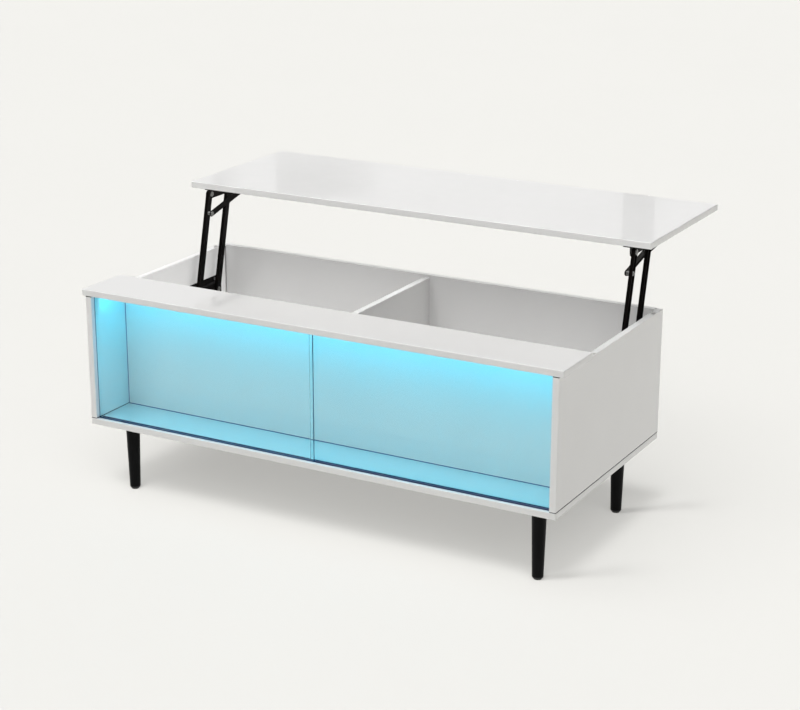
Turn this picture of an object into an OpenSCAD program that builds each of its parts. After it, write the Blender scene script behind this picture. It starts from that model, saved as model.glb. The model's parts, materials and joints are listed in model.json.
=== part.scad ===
// Lift top coffee table: a glass-fronted display niche, an open storage case behind it, and a work
// top that swings up and back on two pairs of parallel steel arms. It is drawn with the top raised.
// X runs along the table, Y from front to back, Z up. The origin is on the floor, under the middle
// of the whole raised table.

/* [Boards] */
// Length of the lift top and of the fixed front strip
top_w = 1200; // [1100:1:1300]
// How far both tops reach past each side panel
overhang = 10; // [5:1:15]
// Depth of the case, front to back
body_d = 553; // [540:1:600]
// Thickness of every board
board = 15; // [15:1:18]
// Height of the side panels
side_h = 293; // [285:1:320]
// Depth of the fixed front strip
strip_d = 142.5; // [142:0.5:146]
// Distance from the front to the niche's back wall
niche_d = 126; // [122:1:126]
// Small bevel on every board edge
bevel = 0.8; // [0.4:0.1:1.2]
// How far the storage divider stops below the rim
divider_drop = 6; // [5:1:12]

/* [Legs] */
// Clear height under the case
leg_h = 170; // [140:1:200]
// Leg radius at the top
leg_r_top = 16.5; // [15:0.5:19]
// Leg radius at the foot
leg_r_foot = 12.5; // [12:0.5:14]
// Distance from a side panel's face to a leg's centre
leg_in_x = 67; // [60:1:90]
// Distance from the front or back face to a leg's centre
leg_in_y = 67; // [60:1:90]

/* [Lift mechanism] */
// Width of the gap between the front strip and the closed lift top
seam = 1.5; // [1:0.1:2]
// Height of the closed lift top above the rim, taken up by the soft bumpers
rim_gap = 1; // [0.9:0.1:1.5]
// How far the top moves back as it rises
travel_y = 296.6; // [290:0.1:300]
// How far the top rises
travel_z = 161; // [155:1:165]
// Lean of the raised arms, back from upright, in degrees
arm_lean = 13.3; // [12:0.1:15]
// Distance between the two arms' pivots
arm_pitch = 81.7; // [75:0.1:90]
// Width of an arm
arm_w = 16.5; // [14:0.5:17]
// Distance from the middle of the table to the middle of the arms
arm_x = 556.6; // [556.5:0.1:556.7]
// Depth of an arm's channel section
arm_t = 8; // [7.8:0.1:8.2]
// Length of the brace between its pivots
brace_len = 190; // [185:1:195]
// Distance from the front arm's top pivot down to the brace pivot
brace_drop = 47; // [45:1:50]
// Rise of the raised brace above level, in degrees
brace_rise = 13.5; // [13:0.1:14]
// Turns of the brace on its arm for one turn of the arm
brace_ratio = 1.1; // [1.095:0.001:1.105]

/* [Glass doors] */
// Thickness of the glass
glass_t = 4; // [4:0.5:5]
// Overlap of the two doors in the middle
glass_overlap = 13; // [10:1:30]
// Width of the two-groove track
track_w = 18; // [18:0.5:20]

/* [Light] */
// Width of the light's aluminium channel
led_w = 16; // [14:1:18]
// Distance between two light chips
led_pitch = 33.3; // [16:0.1:50]

/* [Hidden] */
$fn = 48;
eps = 0.01;

// Case planes, measured from the front face of the case
in_x = top_w / 2 - overhang - board;
out_x = in_x + board;
z_bottom = leg_h + board;
z_rim = z_bottom + side_h;
partition_y = niche_d;
back_y = body_d - board;
top_d = body_d - strip_d - seam;
lift_y = strip_d + seam + travel_y;
lift_z = z_rim + rim_gap + travel_z;
origin_y = (lift_y + top_d) / 2;

// Lift mechanism: top pivots, swing and base pivots
pivot_drop = 13.5;
pivot_setback = 13.6;
top_pivot = [lift_y + pivot_setback, lift_z - pivot_drop];
arm_angle = 90 - arm_lean;
chord = norm([travel_y, travel_z]);
swing = 2 * (90 + atan2(travel_z, travel_y) - arm_angle);
arm_len = chord / (2 * sin(swing / 2));
base_pivot = top_pivot - arm_len * [cos(arm_angle), sin(arm_angle)];
brace_pivot = top_pivot - brace_drop * [cos(arm_angle), sin(arm_angle)];

// Layers of the mechanism, as distances from the middle of the table
top_gap = 1.2;
base_gap = 1.4;
play = 0.2;
plate_t = 2;
arm_in = arm_x - arm_t / 2;
arm_out = arm_x + arm_t / 2;
web_out = arm_in - top_gap;
web_in = web_out - plate_t;
brace_depth = 6.6;
brace_in = web_in - brace_depth;
brace_t = 1.6;
brace_r = 7.5;
brace_flange_x = web_in - 1;
rail_in = arm_out + base_gap;
bracket_in = 534;
bracket_out = arm_out + 0.1;

// Pins, bores and screws
wall = 1.6;
pin_r = 3.5;
pin_fit = 0.1;
pin_free = 0.3;
brace_pin_r = 3;
rivet_head_r = 5.5;
spacer_r = 4.5;
stub_r = 5;
bumper_r = 5;
head_r = 6;
head_t = 1.8;
washer_r = 7;
screw_r = 1.9;
screw_head_r = 3.8;
screw_head_t = 2.2;
screw_gap = 0.1;
rail_screw_len = 12;
bracket_screw_len = 13;
leg_screw_len = 12;

// Bracket web outline, relative to the front top pivot
web_r = 11;
web_drop = 10.5;
web_len = 247;
slot_half = brace_pin_r + 0.4;
slot_wall = 4.6;
slot_steps = 24;
web_knee = 66;
web_step = 80;
web_deep = 30;
web_slope = 14;
web_tail = 13;
web_corner = 6;

// Base rail
rail_end = 25;
rail_half = 14;
rail_lip = 14;

// Legs and feet
glide_h = 2;
glide_r = 8.5;
glide_pin_r = 3;
glide_pin_h = 8;
leg_round = 5;
leg_plate = 56;
leg_plate_t = 2.5;
leg_screw_off = 21;
stud_r = 4;
stud_down = 22;
stud_up = 10;

// Glass tracks
track_y = 8;
groove_w = 5.2;
lower_track_h = 7;
upper_track_h = 10;
groove_floor = 1.8;
groove_pitch = 9;
groove_y = [for (s = [-1, 1]) track_y + track_w / 2 + s * groove_pitch / 2];
glass_end_gap = 0.5;

// Light: the channel and its diffuser, the controller behind the storage wall and the power inlet
led_y = 30;
led_h = 7;
led_wall = 1.2;
led_half = in_x - 7;
led_z = z_rim - led_h;
diffuser_t = 1.2;
controller = [20, 50, 13];
controller_at = [in_x - 26, back_y - 120, z_bottom];
inlet_x = in_x - 45;
inlet_z = z_bottom + 40;
inlet_r = 5.9;

// Lead from the light strip, down behind the niche's back wall to the controller, and on to the
// power inlet
lead_r = 1.8;
lead_bend = 5;
lead_steps = 4;
lead_sides = 10;
lead_x = in_x - 4;
lead_mid_x = controller_at[0] + controller[0] / 2;
lead_y = led_y + led_w / 2;
lead_top = z_rim - 3.6;
lead_drop = partition_y + board + lead_r + 0.5;
lead_floor = z_bottom + controller[2] / 2;
lead_back = back_y - 18;
strip_lead = [
    [led_half - 6, lead_y, lead_top], [lead_x, lead_y, lead_top], [lead_x, lead_drop, lead_top],
    [lead_x, lead_drop, lead_floor], [lead_x, controller_at[1] - 30, lead_floor],
    [lead_mid_x, controller_at[1] - 12, lead_floor], [lead_mid_x, controller_at[1], lead_floor]
];
inlet_lead = [
    [lead_mid_x, controller_at[1] + controller[1], lead_floor],
    [lead_mid_x, lead_back - 15, lead_floor], [inlet_x, lead_back, lead_floor + 6],
    [inlet_x, lead_back, inlet_z], [inlet_x, back_y - 6, inlet_z]
];

// Board joints
dowel_r = 3;
dowel_len = 28;
dowel_tip = 10;
dowel_gap = 0.05;
case_screw_r = 2.4;
case_screw_head_r = 4.5;
case_screw_head_h = 2.5;
case_screw_len = 50;
mid_side = out_x - board / 2;
mid_partition = partition_y + board / 2;
mid_back = body_d - 5;

// ---- Places that repeat ----

// Screws up through the bottom board, as X and Y: sides, partition, back and divider
side_screw_y = [50, 276, 500];
partition_screw_x = [-450, -150, 150, 450];
divider_screw_y = [250, 430];
bottom_screws = concat(
    [for (s = [-1, 1], y = side_screw_y) [s * mid_side, y]],
    [for (x = partition_screw_x) [x, mid_partition]],
    [for (x = partition_screw_x) [x, back_y + board / 2]],
    [for (y = divider_screw_y) [0, y]]
);
strip_dowels = concat(
    [for (s = [-1, 1], y = [34, 104]) [s * mid_side, y]],
    [for (x = partition_screw_x) [x, mid_partition]]
);
end_dowel_z = [z_bottom + 60, z_rim - 80];
leg_xy = [for (s = [-1, 1], y = [leg_in_y, body_d - leg_in_y]) [s * (out_x - leg_in_x), y]];
leg_screw_xy = [for (p = leg_xy, i = [-1, 1], j = [-1, 1]) p + leg_screw_off * [i, j]];
bracket_screw_x = bracket_in + 6;
bracket_screw_y = [for (d = [22, 102, 182, 244]) lift_y + d];
rail_screw_y = [base_pivot[0] - 12, base_pivot[0] + arm_pitch + 12];
rail_screw_z = [for (s = [-1, 1]) base_pivot[1] + s * (rail_half + rail_lip / 2)];
bumper_y = [strip_d + 40, body_d - 40];

// ---- Helpers ----

// Moves a piece drawn from the case's front face to the table's own origin
module placed() {
    translate([0, -origin_y, 0]) children();
}

// Draws a right-hand piece on the left
module mirrored(left) {
    mirror([left ? 1 : 0, 0, 0]) children();
}

// Extrudes an outline drawn in Y and Z along X, starting at x
module along_x(x, length) {
    translate([x, 0, 0]) rotate([90, 0, 90]) linear_extrude(length) children();
}

// A round bar along X through the point p in Y and Z
module bar_x(x0, x1, p, r) {
    translate([x0, p[0], p[1]]) rotate([0, 90, 0]) cylinder(h = x1 - x0, r = r);
}

// Outline with round ends, from the origin along the first axis
module strap(length, r) {
    circle(r);
    translate([length, 0]) circle(r);
    translate([0, -r]) square([length, 2 * r]);
}

function bevelled(a, b, c) =
    [[c, 0], [a - c, 0], [a, c], [a, b - c], [a - c, b], [c, b], [0, b - c], [0, c]];

// A board with every edge bevelled, from corner p, size s
module bevelled_board(p, s, c = bevel) {
    translate(p) intersection() {
        linear_extrude(s[2]) polygon(bevelled(s[0], s[1], c));
        translate([0, s[1], 0]) rotate([90, 0, 0])
            linear_extrude(s[1]) polygon(bevelled(s[0], s[2], c));
        along_x(0, s[0]) polygon(bevelled(s[1], s[2], c));
    }
}

// A pan-head screw with a cross recess, head on the origin's lower side, shank up +Z
module screw(length, r = screw_r) {
    difference() {
        union() {
            cylinder(h = length, r = r);
            translate([0, 0, -screw_head_t])
                cylinder(h = screw_head_t, r1 = screw_head_r * 0.72, r2 = screw_head_r);
        }
        for (a = [0, 90]) rotate([0, 0, a])
            translate([-2, -0.4, -screw_head_t - eps]) cube([4, 0.8, 1.3]);
    }
}

// Screw hole along +Z
module pilot(length, r = screw_r) {
    translate([0, 0, -eps]) cylinder(h = length + 2 * eps, r = r + screw_gap / 2);
}

// ---- Case ----

module bottom_screw_cuts() {
    for (p = bottom_screws) translate([p[0], p[1], leg_h]) {
        translate([0, 0, -eps]) cylinder(h = case_screw_len + 1, r = case_screw_r + dowel_gap);
        translate([0, 0, -eps])
            cylinder(h = case_screw_head_h + 2 * eps, r = case_screw_head_r + dowel_gap);
    }
}

module strip_dowel(gap = 0) {
    for (p = strip_dowels) translate([p[0], p[1], z_rim + dowel_tip - dowel_len - gap])
        cylinder(h = dowel_len + 2 * gap, r = dowel_r + gap);
}

module end_dowel(gap = 0) {
    for (s = [-1, 1], y = [mid_partition, mid_back], z = end_dowel_z)
        translate([s * (in_x + dowel_tip - dowel_len / 2), y, z]) rotate([0, 90, 0])
            cylinder(h = dowel_len + 2 * gap, r = dowel_r + gap, center = true);
}

module bottom_panel() {
    color("white") placed() difference() {
        bevelled_board([-out_x, 0, leg_h], [2 * out_x, body_d, board]);
        bottom_screw_cuts();
        translate([-in_x, track_y, z_bottom - lower_track_h]) cube([2 * in_x, track_w, board]);
        for (p = leg_xy) translate([p[0], p[1], leg_h]) pilot(stud_up, stud_r);
        for (p = leg_screw_xy)
            translate([p[0], p[1], leg_h]) pilot(leg_screw_len - leg_plate_t + 0.5);
    }
}

module side_panel(left) {
    color("white") placed() mirrored(left) difference() {
        bevelled_board([in_x, 0, z_bottom], [board, body_d, side_h]);
        bottom_screw_cuts();
        strip_dowel(dowel_gap);
        end_dowel(dowel_gap);
        for (y = rail_screw_y, z = rail_screw_z)
            translate([in_x, y, z]) rotate([0, 90, 0]) pilot(rail_screw_len - plate_t + 1);
    }
}

module left_side_panel() {
    side_panel(true);
}

module right_side_panel() {
    side_panel(false);
}

// The back board, with a stopped groove down each end of its inner face
module back_panel() {
    groove_x = 2;
    groove_wide = 3.5;
    groove_deep = 5;
    color("white") placed() difference() {
        bevelled_board([-in_x, back_y, z_bottom], [2 * in_x, board, side_h]);
        bottom_screw_cuts();
        end_dowel(dowel_gap);
        for (s = [-1, 1])
            translate([s * (in_x - groove_x - groove_wide / 2) - groove_wide / 2, back_y - 1,
                       z_bottom + 4])
                cube([groove_wide, groove_deep + 1, side_h - 8]);
        translate([inlet_x, 0, inlet_z]) rotate([-90, 0, 0])
            cylinder(h = 2 * body_d, r = inlet_r + dowel_gap);
    }
}

module partition_panel() {
    notch = [8, 12];
    color("white") placed() difference() {
        bevelled_board([-in_x, partition_y, z_bottom], [2 * in_x, board, side_h]);
        bottom_screw_cuts();
        strip_dowel(dowel_gap);
        end_dowel(dowel_gap);
        translate([in_x - notch[0], partition_y - 1, z_rim - notch[1]])
            cube([notch[0] + 1, board + 2, notch[1] + 1]);
    }
}

module centre_divider() {
    y0 = partition_y + board;
    color("white") placed() difference() {
        bevelled_board([-board / 2, y0, z_bottom],
                       [board, back_y - y0, side_h - divider_drop]);
        bottom_screw_cuts();
    }
}

module front_strip() {
    color("white") placed() difference() {
        bevelled_board([-top_w / 2, 0, z_rim], [top_w, strip_d, board]);
        strip_dowel(dowel_gap);
        translate([-in_x, track_y, z_rim - board + upper_track_h]) cube([2 * in_x, track_w, board]);
    }
}

module case_screws() {
    color("silver") placed() for (p = bottom_screws) translate([p[0], p[1], leg_h])
        difference() {
            union() {
                translate([0, 0, 0.4]) cylinder(h = case_screw_head_h - 0.4, r = case_screw_head_r);
                cylinder(h = case_screw_len, r = case_screw_r);
            }
            translate([0, 0, -eps]) cylinder(h = 1.8, r = 1.9, $fn = 6);
        }
}

module board_dowels() {
    color("burlywood") placed() {
        strip_dowel();
        end_dowel();
    }
}

module rim_bumpers() {
    color("white") placed() for (s = [-1, 1], y = bumper_y)
        translate([s * mid_side, y, z_rim]) cylinder(h = rim_gap - play, r = bumper_r);
}

// ---- Legs ----

module leg(i) {
    p = leg_xy[i];
    top = leg_h - leg_plate_t;
    r_at = leg_r_foot - leg_round;
    arc = [for (a = [0:15:90]) [r_at + leg_round * sin(a), glide_h + leg_round * (1 - cos(a))]];
    color("black") placed() translate([p[0], p[1], 0]) difference() {
        rotate_extrude() polygon(concat([[0, glide_h]], arc, [[leg_r_top, top], [0, top]]));
        translate([0, 0, top - stud_down]) cylinder(h = stud_down + 1, r = stud_r + dowel_gap);
        translate([0, 0, glide_h - eps]) cylinder(h = glide_pin_h + 2, r = glide_pin_r + dowel_gap);
    }
}

module front_left_leg() {
    leg(0);
}

module rear_left_leg() {
    leg(1);
}

module front_right_leg() {
    leg(2);
}

module rear_right_leg() {
    leg(3);
}

module foot_glides() {
    color("dimgray") placed() for (p = leg_xy) translate([p[0], p[1], 0]) {
        cylinder(h = glide_h, r = glide_r);
        cylinder(h = glide_h + glide_pin_h, r = glide_pin_r);
    }
}

module leg_plates() {
    half = leg_plate / 2;
    color("black") placed() for (p = leg_xy)
        translate([p[0] - half, p[1] - half, leg_h - leg_plate_t]) difference() {
            linear_extrude(leg_plate_t) polygon(bevelled(leg_plate, leg_plate, 6));
            translate([half, half, -1]) cylinder(h = board, r = stud_r + dowel_gap);
            for (i = [-1, 1], j = [-1, 1])
                translate([half + i * leg_screw_off, half + j * leg_screw_off, -1])
                    cylinder(h = board, r = screw_r + screw_gap);
        }
}

module leg_plate_screws() {
    color("silver") placed() for (p = leg_screw_xy)
        translate([p[0], p[1], leg_h - leg_plate_t]) screw(leg_screw_len);
}

module leg_studs() {
    color("silver") placed() for (p = leg_xy)
        translate([p[0], p[1], leg_h - leg_plate_t - stud_down + 1])
            cylinder(h = stud_down + leg_plate_t + stud_up - 1.5, r = stud_r);
}

// ---- Glass doors ----

// A strip with two grooves, groove mouths on its upper side when up is 1
module glass_track(z0, h, up) {
    cut = h - groove_floor;
    difference() {
        translate([-in_x + 0.2, track_y, z0]) cube([2 * in_x - 0.4, track_w, h]);
        for (y = groove_y)
            translate([-in_x, y - groove_w / 2, up ? z0 + groove_floor : z0 - 1])
                cube([2 * in_x, groove_w, cut + 1]);
    }
}

module lower_glass_track() {
    color("whitesmoke") placed() glass_track(z_bottom - lower_track_h, lower_track_h, true);
}

module upper_glass_track() {
    color("whitesmoke") placed() glass_track(z_rim, upper_track_h, false);
}

// Door 0 slides in the front groove, door 1 in the rear groove
module glass_door(i) {
    w = in_x - glass_end_gap + glass_overlap / 2;
    z0 = z_bottom - lower_track_h + groove_floor + 0.3;
    z1 = z_rim + 4;
    x0 = i == 0 ? -in_x + glass_end_gap : -glass_overlap / 2;
    color("lightcyan", 0.4) placed()
        bevelled_board([x0, groove_y[i] - glass_t / 2, z0], [w, glass_t, z1 - z0], 0.4);
}

module left_glass_door() {
    glass_door(0);
}

module right_glass_door() {
    glass_door(1);
}

// ---- Light ----

// Aluminium channel under the front strip, open downwards
module led_channel() {
    color("silver") placed() difference() {
        translate([-led_half, led_y, led_z]) cube([2 * led_half, led_w, led_h]);
        translate([-led_half - 1, led_y + led_wall, led_z - 1])
            cube([2 * led_half + 2, led_w - 2 * led_wall, led_h - led_wall + 1]);
    }
}

// Flexible light strip with a row of square chips, facing down
module led_strip() {
    base_t = 0.4;
    chip = 5;
    chip_t = 1.6;
    z0 = z_rim - led_wall - base_t;
    margin = 20;
    count = floor(2 * (led_half - margin) / led_pitch);
    color("white") placed() union() {
        translate([-led_half + 2, led_y + led_w / 2 - 5, z0]) cube([2 * led_half - 4, 10, base_t]);
        for (i = [0:count])
            translate([(i - count / 2) * led_pitch - chip / 2, led_y + led_w / 2 - chip / 2,
                       z0 - chip_t])
                cube([chip, chip, chip_t + eps]);
    }
}

module led_diffuser() {
    color("aliceblue", 0.7) placed()
        translate([-led_half + 0.5, led_y + led_wall + 0.1, led_z + 0.2])
            cube([2 * led_half - 1, led_w - 2 * led_wall - 0.2, diffuser_t]);
}

// Point and heading at each ring of a lead: its two ends, and an arc of lead_bend at every corner
function lead_path(points) =
    let (last = len(points) - 1,
         dir = [for (i = [1:last]) (points[i] - points[i - 1]) / norm(points[i] - points[i - 1])])
    concat(
        [[points[0], dir[0]]],
        [for (i = [1:last - 1])
            let (turn = acos(dir[i - 1] * dir[i]),
                 side = dir[i] - cos(turn) * dir[i - 1],
                 inward = side / norm(side),
                 start = points[i] - lead_bend * tan(turn / 2) * dir[i - 1])
            for (k = [0:lead_steps])
                let (a = turn * k / lead_steps)
                [start + lead_bend * (sin(a) * dir[i - 1] + (1 - cos(a)) * inward),
                 cos(a) * dir[i - 1] + sin(a) * inward]],
        [[points[last], dir[last - 1]]]
    );

// The part of u that is square to heading t, at unit length
function squared(u, t) = (u - (u * t) * t) / norm(u - (u * t) * t);

// A round lead through a list of points
module lead(points) {
    path = lead_path(points);
    count = len(path);
    up = [for (i = 0, u = squared([1, 2, 3], path[0][1]); i < count;
               i = i + 1, u = squared(u, path[min(i, count - 1)][1])) u];
    rings = [for (i = [0:count - 1], k = [0:lead_sides - 1])
        let (a = 360 * k / lead_sides)
        path[i][0] + lead_r * (cos(a) * up[i] + sin(a) * cross(path[i][1], up[i]))];
    walls = [for (i = [0:count - 2], k = [0:lead_sides - 1])
        let (near = i * lead_sides, far = near + lead_sides, next = (k + 1) % lead_sides)
        each [[near + k, far + k, near + next], [near + next, far + k, far + next]]];
    first = [for (k = [0:lead_sides - 1]) k];
    last = [for (k = [lead_sides - 1:-1:0]) (count - 1) * lead_sides + k];
    polyhedron(rings, concat([first], walls, [last]));
}

module led_lead() {
    color("white") placed() {
        lead(strip_lead);
        lead(inlet_lead);
    }
}

module led_controller() {
    color("whitesmoke") placed() bevelled_board(controller_at, controller, 1.5);
}

// Panel socket with a nut inside and a centre pin in its mouth
module dc_inlet() {
    flange_r = 9;
    mouth_r = 2.9;
    color("black") placed() translate([inlet_x, body_d, inlet_z]) rotate([90, 0, 0]) {
        difference() {
            union() {
                translate([0, 0, -2]) cylinder(h = 2, r = flange_r);
                cylinder(h = board + 6, r = inlet_r);
            }
            translate([0, 0, -2 - eps]) cylinder(h = 12, r = mouth_r);
        }
        translate([0, 0, -1]) cylinder(h = 12, r = 1);
        translate([0, 0, board]) difference() {
            cylinder(h = 3, r = 9, $fn = 6);
            translate([0, 0, -1]) cylinder(h = 5, r = inlet_r + dowel_gap);
        }
    }
}

// ---- Lift mechanism, drawn for the right side ----

// Hat-section rail that carries both lower pivots, screwed to the side panel
module base_rail(left) {
    h = rail_half;
    l = h + rail_lip;
    x0 = rail_in;
    x1 = in_x;
    y0 = base_pivot[0] - rail_end;
    t = plate_t;
    outline = [
        [x0, -h], [x1 - t, -h], [x1 - t, -l], [x1, -l], [x1, -h + t], [x0 + t, -h + t],
        [x0 + t, h - t], [x1, h - t], [x1, l], [x1 - t, l], [x1 - t, h], [x0, h]
    ];
    color([0.12, 0.11, 0.11]) placed() mirrored(left) difference() {
        translate([0, y0 + arm_pitch + 2 * rail_end, base_pivot[1]]) rotate([90, 0, 0])
            linear_extrude(arm_pitch + 2 * rail_end) polygon(outline);
        for (d = [0, arm_pitch])
            bar_x(x0 - 1, x0 + t + 1, base_pivot + [d, 0], pin_r + dowel_gap);
        for (y = rail_screw_y, z = rail_screw_z)
            bar_x(x1 - t - 1, x1 + 1, [y, z], screw_r + screw_gap);
    }
}

module left_base_rail() {
    base_rail(true);
}

module right_base_rail() {
    base_rail(false);
}

module both_sides() {
    for (left = [true, false]) mirrored(left) children();
}

module base_pivot_pins() {
    color("silver") placed() both_sides() for (d = [0, arm_pitch]) {
        p = base_pivot + [d, 0];
        bar_x(arm_in - play - head_t, arm_in - play, p, head_r);
        bar_x(arm_in - head_t, rail_in + plate_t + 1, p, pin_r);
        bar_x(rail_in + plate_t, rail_in + plate_t + head_t, p, head_r);
    }
}

module washer(x0, x1, p) {
    difference() {
        bar_x(x0, x1, p, washer_r);
        bar_x(x0 - 1, x1 + 1, p, pin_r + pin_fit);
    }
}

module base_washers() {
    color("silver") placed() both_sides() for (d = [0, arm_pitch])
        washer(arm_out + play, rail_in - play, base_pivot + [d, 0]);
}

module base_rail_screws() {
    color("silver") placed() both_sides() for (y = rail_screw_y, z = rail_screw_z)
        translate([in_x - plate_t, y, z]) rotate([0, 90, 0]) screw(rail_screw_len);
}

// Pressed channel with round ends, open towards the side panel
module arm(left, offset, brace_hole) {
    p = base_pivot + [offset, 0];
    r = arm_w / 2;
    color([0.12, 0.11, 0.11]) placed() mirrored(left)
        translate([0, p[0], p[1]]) rotate([arm_angle, 0, 0]) difference() {
            along_x(arm_in, arm_t) strap(arm_len, r);
            along_x(arm_in + wall, arm_t) strap(arm_len, r - wall);
            bar_x(arm_in - 1, arm_out + 1, [0, 0], pin_r + pin_fit);
            bar_x(arm_in - 1, arm_out + 1, [arm_len, 0], pin_r + pin_free);
            if (brace_hole)
                bar_x(arm_in - 1, arm_out + 1, [arm_len - brace_drop, 0],
                      brace_pin_r + dowel_gap);
        }
}

module left_front_arm() {
    arm(true, 0, true);
}

module right_front_arm() {
    arm(false, 0, true);
}

module left_rear_arm() {
    arm(true, arm_pitch, false);
}

module right_rear_arm() {
    arm(false, arm_pitch, false);
}

// Rivet with a spacer bush, fixed in the front arm
module brace_rivet(left) {
    color("silver") placed() mirrored(left) {
        bar_x(brace_in - play - head_t, brace_in - play, brace_pivot, rivet_head_r);
        bar_x(brace_in - head_t, arm_out + 1, brace_pivot, brace_pin_r);
        bar_x(brace_in + brace_t + 0.3, arm_in - 0.1, brace_pivot, spacer_r);
        bar_x(arm_in + wall + 0.1, arm_out - 0.4, brace_pivot, stub_r);
    }
}

module left_brace_rivet() {
    brace_rivet(true);
}

module right_brace_rivet() {
    brace_rivet(false);
}

// Angle-section brace from the front arm up to the bracket's curved slot
module brace(left) {
    color([0.12, 0.11, 0.11]) placed() mirrored(left)
        translate([0, brace_pivot[0], brace_pivot[1]]) rotate([brace_rise, 0, 0]) difference() {
            union() {
                along_x(brace_in, brace_t) strap(brace_len, brace_r);
                translate([brace_in, 0, -brace_r])
                    cube([brace_flange_x - brace_in, brace_len, brace_t]);
            }
            bar_x(brace_in - 1, arm_in, [0, 0], brace_pin_r + pin_fit);
            bar_x(brace_in - 1, arm_in, [brace_len, 0], brace_pin_r + dowel_gap);
        }
}

module left_brace() {
    brace(true);
}

module right_brace() {
    brace(false);
}

// Place of the brace's upper pin at part t of the swing, relative to the front top pivot
function slide_at(t) =
    let (a = arm_angle + t * swing, b = brace_rise + t * swing * (1 - brace_ratio))
    brace_len * [cos(b), sin(b)] - brace_drop * [cos(a), sin(a)];

module slide_pin(left) {
    p = top_pivot + slide_at(0);
    color("silver") placed() mirrored(left) {
        bar_x(brace_in - head_t, brace_in, p, stub_r);
        bar_x(brace_in - head_t, web_out + 1, p, brace_pin_r);
        bar_x(web_out + play, web_out + 1, p, rivet_head_r);
    }
}

module left_slide_pin() {
    slide_pin(true);
}

module right_slide_pin() {
    slide_pin(false);
}

// Outline of the curved slot that guides the brace's upper pin
slot_mid = [for (i = [0:slot_steps]) slide_at(i / slot_steps)];
slot_dir = [for (i = [0:slot_steps])
    let (d = slot_mid[min(i + 1, slot_steps)] - slot_mid[max(i - 1, 0)]) d / norm(d)];

function slot_edge(side) =
    [for (i = [0:slot_steps]) slot_mid[i] + side * slot_half * [-slot_dir[i][1], slot_dir[i][0]]];

module slot_outline() {
    edge = slot_edge(-1);
    polygon(concat(slot_edge(1), [for (i = [slot_steps:-1:0]) edge[i]]));
    for (p = [slot_mid[0], slot_mid[slot_steps]]) translate(p) circle(slot_half);
}

// Flange under the lift top with an upright web for the top pivots and the brace's slot
module top_bracket(left) {
    low = min([for (p = slot_mid) p[1]]) - slot_half - slot_wall;
    deep0 = slot_mid[0][0] - web_slope;
    deep1 = slot_mid[slot_steps][0] + web_tail;
    roof = pivot_drop - plate_t / 2;
    web = [
        [0, roof], [0, -web_drop], [web_knee, -web_drop], [web_step, -web_deep], [deep0, low],
        [deep1 - web_corner, low],
        [deep1, low + web_corner], [deep1, roof]
    ];
    color([0.12, 0.11, 0.11]) placed() mirrored(left) difference() {
        union() {
            translate([bracket_in, lift_y + 1.5, lift_z - plate_t])
                cube([bracket_out - bracket_in, web_len + pivot_setback, plate_t]);
            translate([0, top_pivot[0], top_pivot[1]]) along_x(web_in, plate_t) difference() {
                union() {
                    circle(web_r);
                    polygon(web);
                    translate([-web_r, 0]) square([web_r, roof]);
                }
                slot_outline();
            }
        }
        for (d = [0, arm_pitch])
            bar_x(web_in - 1, web_out + 1, top_pivot + [d, 0], pin_r + dowel_gap);
        for (y = bracket_screw_y) translate([bracket_screw_x, y, lift_z - plate_t - 1])
            cylinder(h = plate_t + 2, r = screw_r + screw_gap);
    }
}

module left_top_bracket() {
    top_bracket(true);
}

module right_top_bracket() {
    top_bracket(false);
}

module top_pivot_pins() {
    color("silver") placed() both_sides() for (d = [0, arm_pitch]) {
        p = top_pivot + [d, 0];
        bar_x(web_in - head_t, web_in, p, head_r);
        bar_x(web_in - head_t, arm_out + 1, p, pin_r);
        bar_x(arm_out + play, arm_out + play + head_t, p, head_r);
    }
}

module top_washers() {
    color("silver") placed() both_sides() for (d = [0, arm_pitch])
        washer(web_out + play, arm_in - play, top_pivot + [d, 0]);
}

module bracket_screws() {
    color("silver") placed() both_sides() for (y = bracket_screw_y)
        translate([bracket_screw_x, y, lift_z - plate_t]) screw(bracket_screw_len);
}

module lift_top() {
    color("white") placed() difference() {
        bevelled_board([-top_w / 2, lift_y, lift_z], [top_w, top_d, board]);
        both_sides() for (y = bracket_screw_y)
            translate([bracket_screw_x, y, lift_z]) pilot(bracket_screw_len - plate_t + 1);
    }
}

bottom_panel();
left_side_panel();
right_side_panel();
back_panel();
partition_panel();
centre_divider();
front_strip();
front_left_leg();
front_right_leg();
rear_left_leg();
rear_right_leg();
leg_plates();
leg_plate_screws();
leg_studs();
foot_glides();
lower_glass_track();
upper_glass_track();
left_glass_door();
right_glass_door();
led_channel();
led_strip();
led_diffuser();
led_lead();
led_controller();
dc_inlet();
left_base_rail();
right_base_rail();
base_pivot_pins();
base_washers();
base_rail_screws();
case_screws();
board_dowels();
rim_bumpers();
left_front_arm();
right_front_arm();
left_rear_arm();
right_rear_arm();
left_brace_rivet();
right_brace_rivet();
left_brace();
right_brace();
left_slide_pin();
right_slide_pin();
lift_top();
left_top_bracket();
right_top_bracket();
top_pivot_pins();
top_washers();
bracket_screws();
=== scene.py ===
"""Looks of the lift top coffee table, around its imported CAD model. Metres, +Z up, the model's frame."""
import json
import math
import bmesh
import bpy
from mathutils import Matrix, Vector


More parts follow.
